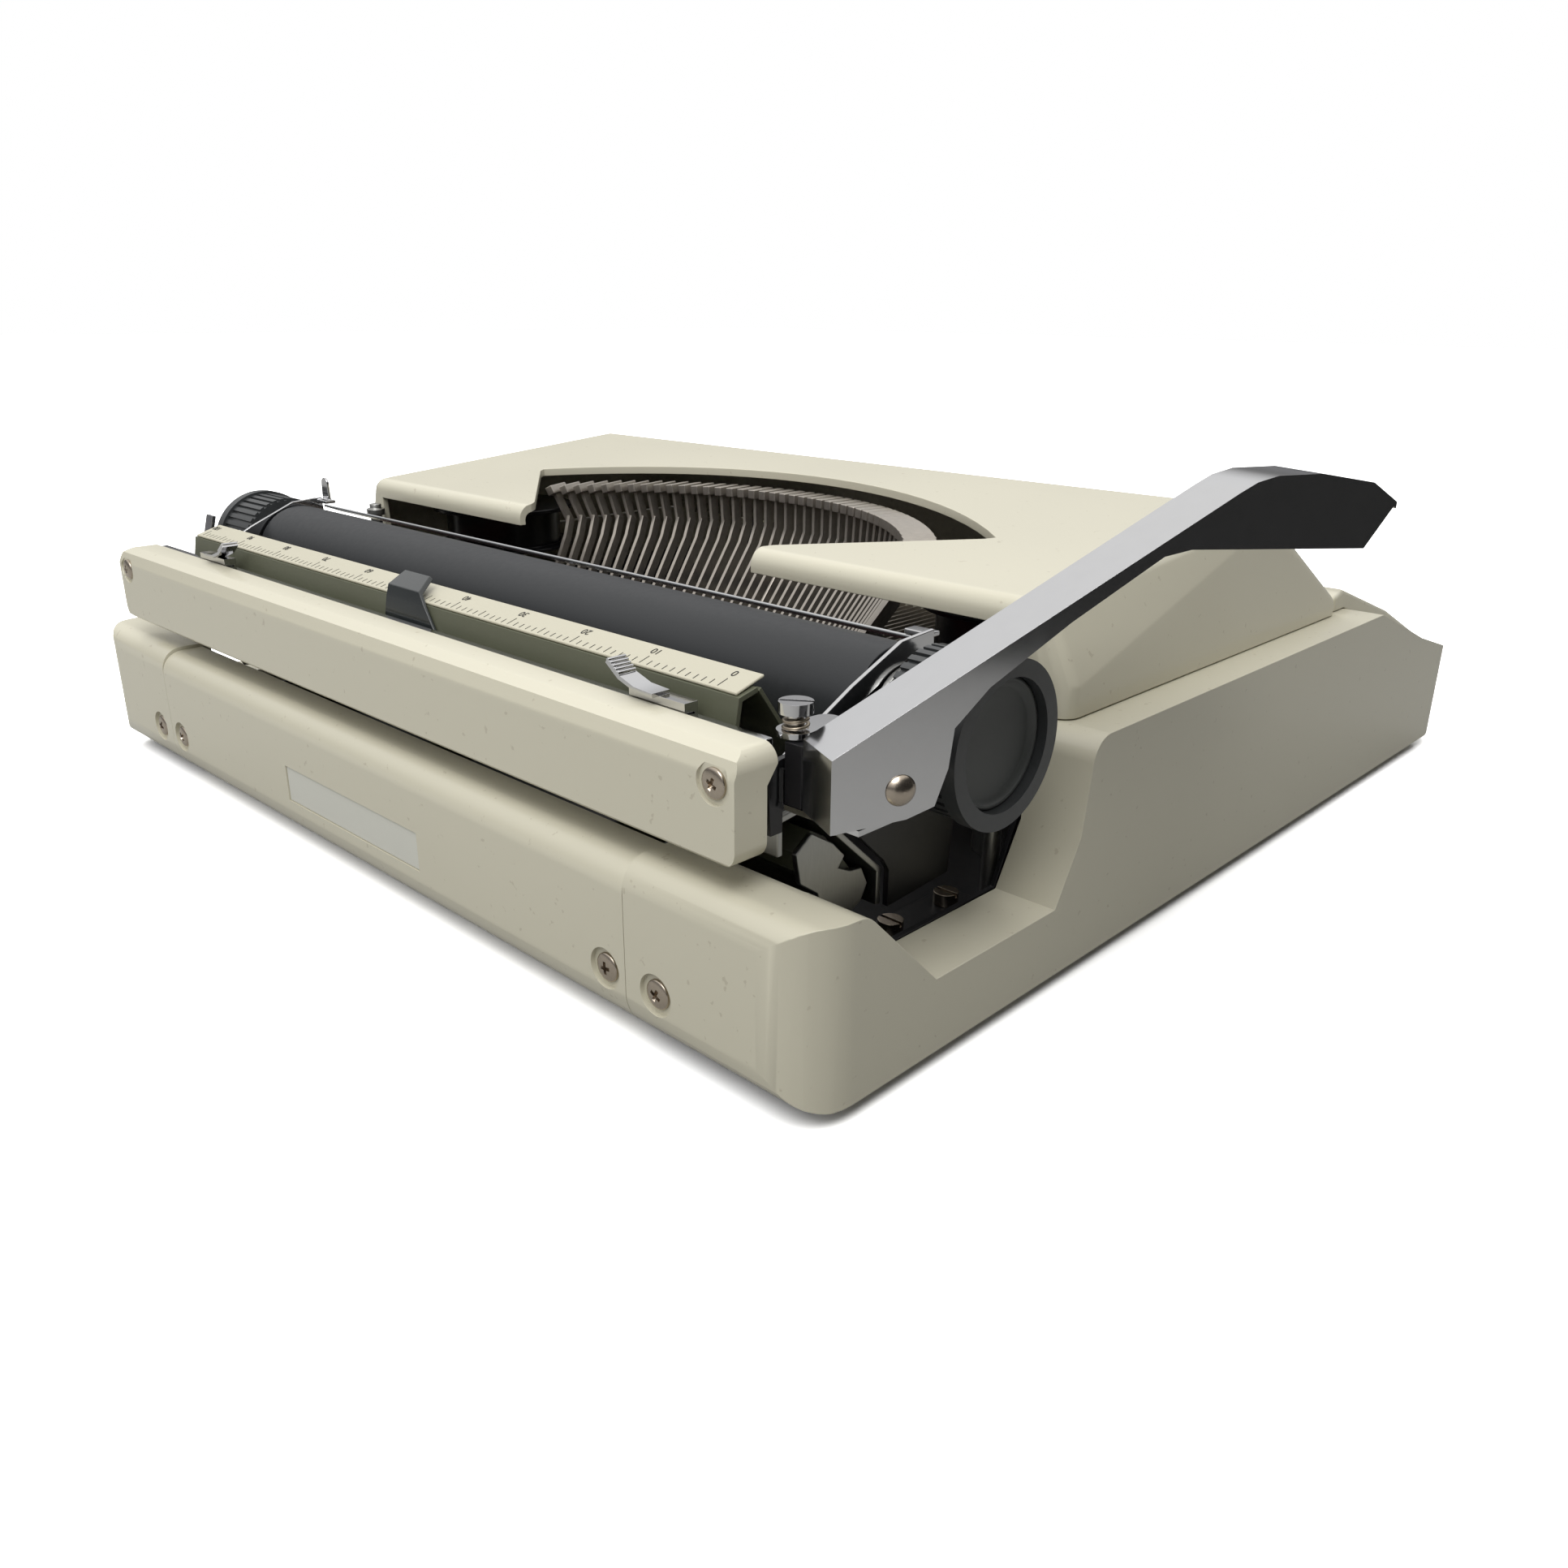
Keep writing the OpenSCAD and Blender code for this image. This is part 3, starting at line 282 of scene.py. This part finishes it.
KNOB_DISC = surface("knob_disc", (0.085, 0.090, 0.087), rough=0.42, mottle=0.25, scale=90)
SPRING_STEEL = surface("spring_steel", (0.42, 0.36, 0.28), rough=0.3, metal=1.0, mottle=0.2)


# ---------- helpers ----------

WELD = 0.01 * MM
FLAT_ANGLE = math.radians(1)
CURVED_ANGLE = math.radians(38)
# Box whose first four corners are its base, in turn, and the last four those above them
BOX_FACES = ((3, 2, 1, 0), (4, 5, 6, 7), (0, 1, 5, 4), (1, 2, 6, 5), (2, 3, 7, 6), (3, 0, 4, 7))


def even_normals(thing):
    thing.modifiers.new("normals", "WEIGHTED_NORMAL").keep_sharp = False


def break_edges(thing, width, angle):
    """Rounds slightly every edge sharper than angle, in degrees."""
    bevel = thing.modifiers.new("bevel", "BEVEL")
    bevel.width = width
    bevel.segments = 2
    bevel.limit_method = "ANGLE"
    bevel.angle_limit = math.radians(angle)
    even_normals(thing)


def soften(thing):
    """Welds and cleans a mesh, then rounds its edges slightly."""
    weld = thing.modifiers.new("weld", "WELD")
    weld.merge_threshold = WELD
    flat = thing.modifiers.new("flat", "DECIMATE")
    flat.decimate_type = "DISSOLVE"
    flat.angle_limit = FLAT_ANGLE
    break_edges(thing, 0.3 * MM, 35)


def finish_cad_nodes():
    """CAD nodes whose shape is right keep it: they get their slot's material and slightly rounded edges."""
    for name, node in frame["nodes"].items():
        node.data.materials.clear()
        node.data.materials.append(MATERIALS[SLOTS[name]])
        soften(node)


def add_piece(name, mesh, body, slot, material=None):
    piece = link(name, mesh)
    mesh.materials.clear()
    mesh.materials.append(material or MATERIALS[slot])
    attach(piece, body)
    return piece


def mesh_from(bm, name, smooth=False):
    mesh = bpy.data.meshes.new(name)
    bm.normal_update()
    for face in bm.faces:
        face.smooth = smooth
    bm.to_mesh(mesh)
    bm.free()
    return mesh


def finished_mesh(thing):
    """The object's mesh as its modifiers leave it."""
    bpy.context.view_layer.update()
    return bpy.data.meshes.new_from_object(thing.evaluated_get(bpy.context.evaluated_depsgraph_get()))


def add_box(bm, corners):
    verts = [bm.verts.new(corner) for corner in corners]
    for face in BOX_FACES:
        bm.faces.new([verts[i] for i in face])


def outward(node):
    """Tells a convex shell's outer faces: they look away from its middle."""
    low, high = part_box(node)
    centre = (Vector(low) + Vector(high)) / 2
    return lambda face: face.normal.dot(face.calc_center_median() - centre) > 0


def escapes(node):
    """Tells a hollow shell's outer faces: a ray along the normal leaves the node."""
    source = frame["nodes"][node]

    def outer(face):
        start = face.calc_center_median() + face.normal * 0.5 * MM
        hit = source.ray_cast(start, face.normal)[0]
        return not hit and face.normal.z > -0.3
    return outer


def rounded_copy(node, body, radius, outer, segments):
    """A piece that stands for a CAD node, with the sharp edges between its outer faces rounded."""
    source = frame["nodes"][node]
    bm = bmesh.new()
    bm.from_mesh(source.data)
    bm.transform(source.matrix_world)
    bmesh.ops.remove_doubles(bm, verts=bm.verts, dist=WELD)
    bmesh.ops.dissolve_limit(bm, angle_limit=FLAT_ANGLE, verts=bm.verts, edges=bm.edges)
    chosen = [edge for edge in bm.edges if len(edge.link_faces) == 2 and edge.is_convex
              and edge.calc_face_angle() > CURVED_ANGLE
              and all(outer(face) for face in edge.link_faces)]
    bmesh.ops.bevel(bm, geom=chosen, offset=radius, segments=segments, profile=0.5, affect="EDGES",
                    clamp_overlap=True)
    piece = add_piece(node + "_skin", mesh_from(bm, node + "_skin"), body, SLOTS[node])
    soften(piece)
    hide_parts(node)


def lathe(bm, outline, centre, axis, steps):
    """Turns a (radius, height) outline about an axis through centre."""
    turn = Vector((0, 0, 1)).rotation_difference(Vector(axis)).to_matrix()
    rings = []
    for radius, height in outline:
        rings.append([bm.verts.new(Vector(centre) + turn @ Vector((
            radius * math.cos(2 * math.pi * k / steps), radius * math.sin(2 * math.pi * k / steps), height)))
            for k in range(steps)])
    for low_ring, high_ring in zip(rings, rings[1:]):
        for k in range(steps):
            bm.faces.new((low_ring[k], low_ring[(k + 1) % steps], high_ring[(k + 1) % steps], high_ring[k]))
    bm.faces.new(rings[0][::-1])
    bm.faces.new(rings[-1])


# ---------- enamel shells and chrome lever ----------

LEVER_ANGLE = math.radians(24.7)
LEVER_WIDTH = 13.7 * MM


def make_shells():
    rounded_copy("base_shell", "base", 5 * MM, escapes("base_shell"), segments=5)
    rounded_copy("rear_panel", "base", 1.2 * MM, outward("rear_panel"), segments=3)
    rounded_copy("carriage_cover", "carriage", 1.8 * MM, outward("carriage_cover"), segments=4)
    rounded_copy("keyboard_cowl", "base", 1.5 * MM, outward("keyboard_cowl"), segments=3)


def make_lever():
    """The folded channel: its long fold and its rear corner are rounded, its other edges only broken."""
    pivot_side = Vector((math.cos(LEVER_ANGLE), -math.sin(LEVER_ANGLE), 0))
    back = Vector((math.sin(LEVER_ANGLE), math.cos(LEVER_ANGLE), 0))
    low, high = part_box("return_lever")
    corner = Vector((high[0] - LEVER_WIDTH * math.cos(LEVER_ANGLE), high[1], 0))

    def outer(face):
        place = face.calc_center_median() - corner
        on_side = face.normal.dot(pivot_side) < -0.9 and place.dot(pivot_side) < 1 * MM
        on_end = face.normal.dot(back) > 0.9 and place.dot(back) > -1 * MM
        return face.normal.z > 0.3 or on_side or on_end
    rounded_copy("return_lever", "lever", 1.9 * MM, outer, segments=5)


# ---------- screws ----------

SHANK_DEPTH = 6 * MM
PANEL_SCREW_INSET = 7 * MM
RIM_SHARE = 0.35
CROSS_WIDTH = 0.13
CROSS_TOP, CROSS_FLOOR = (0.62, 2.0), (0.30, 0.05)
FIRST_SPIN, SPIN_STEP = 20, 31


def cross_cut(centre, axis, side, other, spin, radius, height):
    """Corners of one tapered arm of the pressed cross, wide above the head and narrow at its floor."""
    return [Vector(centre) + axis * height * depth
            + spin @ (side * a * radius * along + other * b * radius * CROSS_WIDTH)
            for along, depth in (CROSS_TOP, CROSS_FLOOR) for a, b in ((-1, -1), (1, -1), (1, 1), (-1, 1))]


def screw_heads(node, body, centres, radius, height):
    """Domed heads with a pressed cross that face backwards, one mesh for all the screws of a node."""
    bm = bmesh.new()
    cutters = bmesh.new()
    axis = Vector((0, 1, 0))
    side = axis.orthogonal().normalized()
    other = axis.cross(side)
    dome = [(radius * 0.5, -SHANK_DEPTH), (radius * 0.5, 0), (radius, 0), (radius, height * RIM_SHARE)]
    dome += [(radius * math.cos(a), height * (RIM_SHARE + (1 - RIM_SHARE) * math.sin(a)))
             for a in [math.radians(d) for d in range(12, 85, 12)]]
    for number, centre in enumerate(centres):
        lathe(bm, dome, centre, axis, steps=40)
        spin = Matrix.Rotation(math.radians(FIRST_SPIN + SPIN_STEP * number), 3, axis)
        for first, second in ((side, other), (other, side)):
            add_box(cutters, cross_cut(centre, axis, first, second, spin, radius, height))
    bmesh.ops.recalc_face_normals(bm, faces=bm.faces)
    bmesh.ops.recalc_face_normals(cutters, faces=cutters.faces)
    piece = add_piece(node + "_heads", mesh_from(bm, node + "_heads", smooth=True), body, SLOTS[node])
    knife = link("knife", mesh_from(cutters, "knife"))
    cut = piece.modifiers.new("cross", "BOOLEAN")
    cut.operation = "DIFFERENCE"
    cut.solver = "EXACT"
    cut.use_self = True
    cut.object = knife
    piece.data = finished_mesh(piece)
    piece.modifiers.clear()
    bpy.data.objects.remove(knife)
    break_edges(piece, 0.12 * MM, 40)
    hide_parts(node)


def make_screws():
    """Two screws either side of each of the rear panel's seams, and one at each end of the carriage cover."""
    low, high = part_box("panel_screws")
    radius = 3.5 * MM
    inner_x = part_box("rear_panel")[1][0] - PANEL_SCREW_INSET
    xs = (-high[0] + radius, -inner_x, inner_x, high[0] - radius)
    middle_z = (low[2] + high[2]) / 2
    screw_heads("panel_screws", "base",
                [(x, high[1] - 1 * MM, middle_z) for x in xs], radius, 1.3 * MM)
    low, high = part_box("cover_screws")
    radius = 3.3 * MM
    middle_z = (low[2] + high[2]) / 2
    screw_heads("cover_screws", "carriage",
                [(s * (high[0] - radius), high[1] - 0.8 * MM, middle_z) for s in (-1, 1)], radius, 1.2 * MM)


# ---------- scales ----------

PITCH = 2.54 * MM
DIVISIONS = 100
MARK_WIDTH = 0.22 * MM
INK_DEPTH = 0.03 * MM
DIGIT_LIFT = 0.05 * MM
SCALE_SLOPE = (0, 8.4, -2.5)
BAIL_SLOPE = (0, 7, 2.8)


def flat_marks(name, body, slot, material, origin, across, far, lengths, digits):
    """Printed ticks that end far from the strip's front edge, and a number every ten. origin is the first
    tick's place on that edge, across leads from it over the strip, lengths are the ticks' at tens, fives and
    units, and digits the numbers' (size, distance from the edge)."""
    along, across = Vector((1, 0, 0)), Vector(across).normalized()
    up = along.cross(across)
    bm = bmesh.new()
    for k in range(DIVISIONS + 1):
        length = lengths[0] if k % 10 == 0 else lengths[1] if k % 5 == 0 else lengths[2]
        start = origin + along * PITCH * k + across * (far - length)
        base = [start + along * a * MARK_WIDTH / 2 + across * b * length + up * INK_DEPTH
                for a, b in ((-1, 0), (1, 0), (1, 1), (-1, 1))]
        add_box(bm, base + [corner + up * INK_DEPTH for corner in base])
    size, gap = digits
    turn = Matrix((along, across, up)).transposed().to_4x4()
    for k in range(0, DIVISIONS + 1, 10):
        text = bpy.data.curves.new("digits", "FONT")
        text.body = str(k)
        text.size = size
        text.extrude = INK_DEPTH
        text.align_x = "CENTER"
        holder = link("digits", text)
        shape = finished_mesh(holder)
        place = origin + along * PITCH * k + across * gap + up * DIGIT_LIFT
        shape.transform(Matrix.Translation(place) @ turn)
        bm.from_mesh(shape)
        bpy.data.objects.remove(holder)
    bmesh.ops.recalc_face_normals(bm, faces=bm.faces)
    add_piece(name, mesh_from(bm, name), body, slot, material)


def make_scales():
    low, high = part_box("margin_scale")
    start = Vector((-DIVISIONS / 2 * PITCH + 1.4 * MM, low[1], high[2]))
    flat_marks("scale_marks", "carriage", "cream_scale", INK, start, SCALE_SLOPE, 8.0 * MM,
               (3.2 * MM, 2.6 * MM, 1.8 * MM), (3.0 * MM, 1.6 * MM))
    low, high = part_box("bail_bar")
    start = Vector((-DIVISIONS / 2 * PITCH, low[1], low[2] + 0.8 * MM))
    flat_marks("bail_marks", "bail", "bail_aluminium", PALE_INK, start, BAIL_SLOPE, 7.2 * MM,
               (2.4 * MM, 2.0 * MM, 1.4 * MM), (2.4 * MM, 1.6 * MM))


# ---------- small fittings ----------

STEPS_PER_TURN = 24


def coil(name, body, material, centre, radius, wire, low_z, high_z, turns):
    """A coil spring of round wire that stands on the z axis."""
    curve = bpy.data.curves.new(name, "CURVE")
    curve.dimensions = "3D"
    curve.bevel_depth = wire / 2
    curve.bevel_resolution = 3
    spline = curve.splines.new("POLY")
    steps = int(turns * STEPS_PER_TURN)
    spline.points.add(steps)
    for k, point in enumerate(spline.points):
        angle = 2 * math.pi * k / STEPS_PER_TURN
        z = low_z + (high_z - low_z) * k / steps
        point.co = (centre[0] + radius * math.cos(angle), centre[1] + radius * math.sin(angle), z, 1)
    piece = link(name, curve)
    curve.materials.append(material)
    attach(piece, body)


def make_fittings():
    """The spring on the shank of the lever bracket's screw."""
    low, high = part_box("lever_bracket")
    screw = (high[0] - 4 * MM, high[1] - 4 * MM)
    coil("bracket_spring", "carriage", SPRING_STEEL, screw, 2.5 * MM, 0.8 * MM,
         high[2] - 7.0 * MM, high[2] - 3.5 * MM, 2.6)


def make_knob_discs():
    """Paler dished disc in each knob's recess, with a stepped rim."""
    for name, side in (("left", -1), ("right", 1)):
        low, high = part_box("knob_" + name)
        centre = ((high[0] if side > 0 else low[0]), (low[1] + high[1]) / 2, (low[2] + high[2]) / 2)
        bm = bmesh.new()
        outline = [(14.9, -3.98), (14.9, -2.6), (14.3, -2.2), (13.7, -2.4), (13.4, -3.2), (12, -3.5),
                   (6, -3.75), (0.5, -3.8)]
        lathe(bm, [(r * MM, h * MM) for r, h in outline], centre, (side, 0, 0), steps=64)
        bmesh.ops.recalc_face_normals(bm, faces=bm.faces)
        piece = add_piece("knob_disc_" + name, mesh_from(bm, "knob_disc_" + name, smooth=True), "platen",
                          "knob_plastic", KNOB_DISC)
        even_normals(piece)


make_camera()
make_studio()
finish_cad_nodes()
make_shells()
make_lever()
make_screws()
make_scales()
make_fittings()
make_knob_discs()
